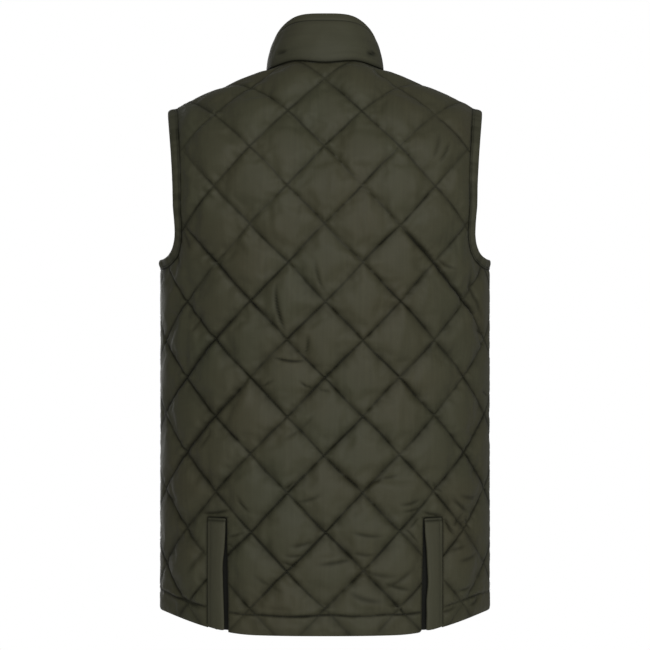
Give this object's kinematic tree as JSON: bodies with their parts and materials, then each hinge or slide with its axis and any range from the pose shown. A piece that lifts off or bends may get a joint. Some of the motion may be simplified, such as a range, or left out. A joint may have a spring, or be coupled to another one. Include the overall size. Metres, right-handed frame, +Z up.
{
  "type": "quilted vest",
  "caption": "Quilted vest in its worn, hollow shape, with a plain stand collar, a zipped front, bound armholes and vents in the back hem.",
  "frame": {"origin": "the middle of the neck opening, level with the points where the shoulders meet the collar, midway between front and back", "axes": "+Z up, -Y the way the front faces, +X the wearer's left"},
  "size_m": [0.4392, 0.2748, 0.7984],
  "materials": {
    "quilted_cloth": "satin woven polyester, quilted",
    "plain_cloth": "satin woven polyester",
    "zip_tape": "woven tape",
    "zip_teeth": "satin",
    "zip_metal": "dark antique"
  },
  "bodies": {
    "garment": {"back": "quilted_cloth", "front_left": "quilted_cloth", "front_right": "quilted_cloth", "collar": "plain_cloth", "armhole_binding_left": "plain_cloth", "armhole_binding_right": "plain_cloth", "vent_band_left": "plain_cloth", "vent_band_right": "plain_cloth", "vent_gusset_left": "plain_cloth", "vent_gusset_right": "plain_cloth", "zip_tape_left": "zip_tape", "zip_tape_right": "zip_tape", "zip_chain": "zip_teeth", "zip_slider": "zip_metal"},
    "pull_tab": {"zip_pull": "zip_metal"}
  },
  "joints": [
    {"name": "pull_tab_hinge", "type": "hinge", "parent": "garment", "child": "pull_tab", "pos_m": [0, -0.08464, -0.02834], "axis": [-1, 0, 0], "range_deg": [0, 180]}
  ]
}
